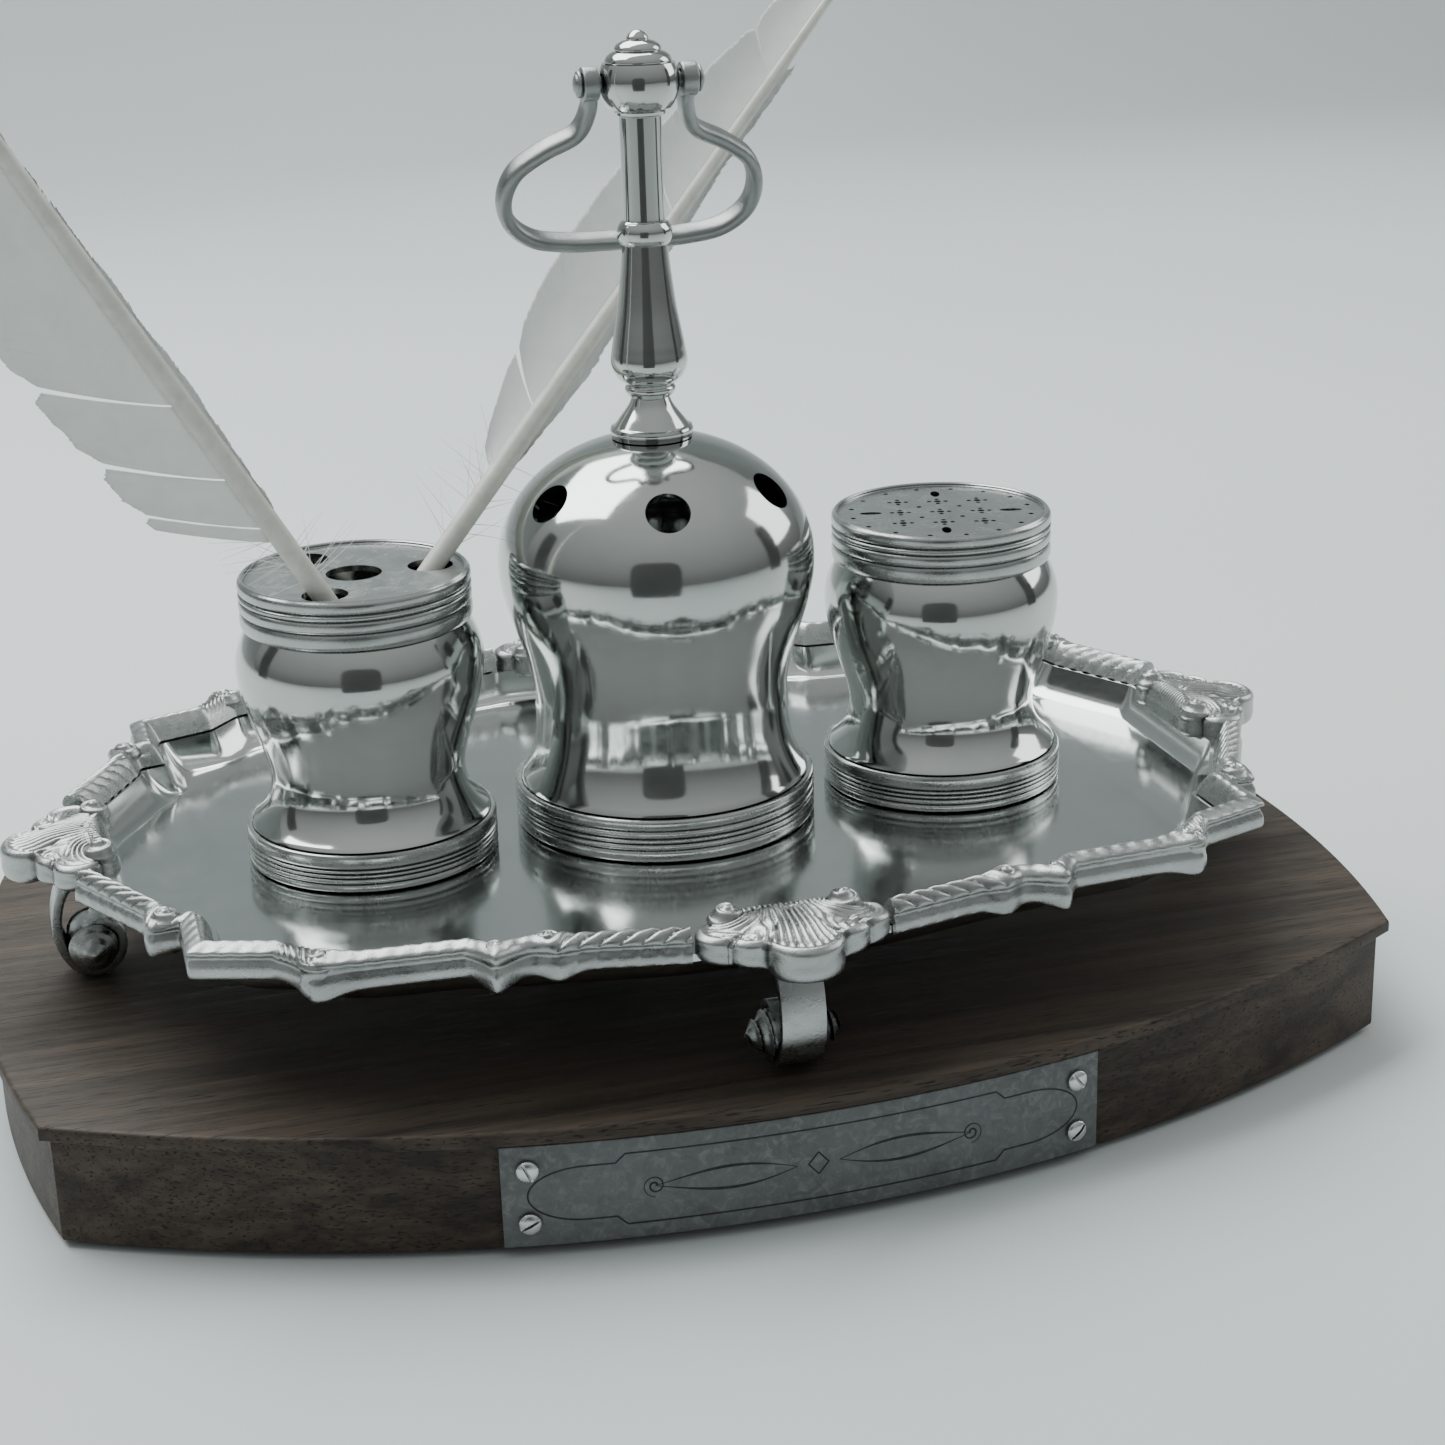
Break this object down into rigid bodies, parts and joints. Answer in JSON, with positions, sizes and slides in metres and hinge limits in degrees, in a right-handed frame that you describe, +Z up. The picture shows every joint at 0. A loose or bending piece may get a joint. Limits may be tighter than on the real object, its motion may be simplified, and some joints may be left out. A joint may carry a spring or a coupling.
{
  "type": "inkstand",
  "caption": "Pewter tray with inkwell, bell-shaped quill holder and sander on a bowed wooden plinth; lids and vessels lift off, a loop handle swings and quills pull out.",
  "frame": {"origin": "centre of the baize's underside, on the desk", "axes": "+X along the row of vessels towards the sander, +Z up, -Y the front with the nameplate"},
  "size_m": [0.3182, 0.2034, 0.2832],
  "materials": {
    "walnut": "oiled walnut, satin",
    "baize": "wool baize",
    "plate_metal": "dull grey plated brass with a fine engraved border",
    "screw_metal": "bright slotted screws",
    "satin_pewter": "satin pewter sheet",
    "cast_pewter": "cast pewter, dull in the hollows and bright on the high spots",
    "polished_pewter": "mirror-polished pewter",
    "liner_glass": "clear glass",
    "quill_shaft": "horn-like feather shaft",
    "quill_vane": "white goose vane"
  },
  "bodies": {
    "plinth": {"plinth": "walnut", "baize_pad": "baize", "nameplate": "plate_metal", "nameplate_screw_lower_left": "screw_metal", "nameplate_screw_upper_left": "screw_metal", "nameplate_screw_lower_right": "screw_metal", "nameplate_screw_upper_right": "screw_metal"},
    "tray": {"tray_plate": "satin_pewter", "tray_border_back_right": "cast_pewter", "tray_border_back_left": "cast_pewter", "tray_border_front_left": "cast_pewter", "tray_border_front_right": "cast_pewter", "shell_back": "cast_pewter", "shell_left": "cast_pewter", "shell_front": "cast_pewter", "shell_right": "cast_pewter", "foot_back": "cast_pewter", "foot_left": "cast_pewter", "foot_front": "cast_pewter", "foot_right": "cast_pewter"},
    "inkwell": {"inkwell_foot_ring": "cast_pewter", "inkwell_base": "satin_pewter", "inkwell_body": "polished_pewter", "ink_liner": "liner_glass"},
    "inkwell_lid": {"inkwell_lid": "satin_pewter"},
    "quill_left": {"quill_left_shaft": "quill_shaft", "quill_left_vane": "quill_vane"},
    "quill_right": {"quill_right_shaft": "quill_shaft", "quill_right_vane": "quill_vane"},
    "quill_holder": {"holder_foot_ring": "cast_pewter", "holder_base": "satin_pewter", "holder_shell": "polished_pewter", "stem": "polished_pewter", "stem_rod": "cast_pewter", "stem_nut": "cast_pewter", "finial": "polished_pewter", "pivot_pin_left": "cast_pewter", "pivot_pin_right": "cast_pewter"},
    "bail": {"bail": "cast_pewter"},
    "sander": {"sander_foot_ring": "cast_pewter", "sander_base": "satin_pewter", "sander_body": "polished_pewter"},
    "sander_lid": {"sander_lid": "satin_pewter"}
  },
  "joints": [
    {"name": "tray_lift", "type": "slide", "parent": "plinth", "child": "tray", "axis": [0, 0, 1], "range_m": [0, 0.06]},
    {"name": "inkwell_lift", "type": "slide", "parent": "tray", "child": "inkwell", "axis": [0, 0, 1], "range_m": [0, 0.02]},
    {"name": "inkwell_lid_lift", "type": "slide", "parent": "inkwell", "child": "inkwell_lid", "axis": [0, 0, 1], "range_m": [0, 0.02]},
    {"name": "quill_left_pull", "type": "slide", "parent": "inkwell_lid", "child": "quill_left", "axis": [-0.4972, 0, 0.8677], "range_m": [0, 0.045]},
    {"name": "quill_right_pull", "type": "slide", "parent": "inkwell_lid", "child": "quill_right", "axis": [0.6674, 0.3277, 0.6687], "range_m": [0, 0.045]},
    {"name": "quill_holder_lift", "type": "slide", "parent": "tray", "child": "quill_holder", "axis": [0, -0.7071, 0.7071], "range_m": [0, 0.12]},
    {"name": "bail_swing", "type": "hinge", "parent": "quill_holder", "child": "bail", "pos_m": [0, 0, 0.1927], "axis": [1, 0, 0], "range_deg": [-10, 322]},
    {"name": "sander_lift", "type": "slide", "parent": "tray", "child": "sander", "axis": [0, 0, 1], "range_m": [0, 0.06]},
    {"name": "sander_lid_lift", "type": "slide", "parent": "sander", "child": "sander_lid", "axis": [0, 0, 1], "range_m": [0, 0.025]}
  ]
}
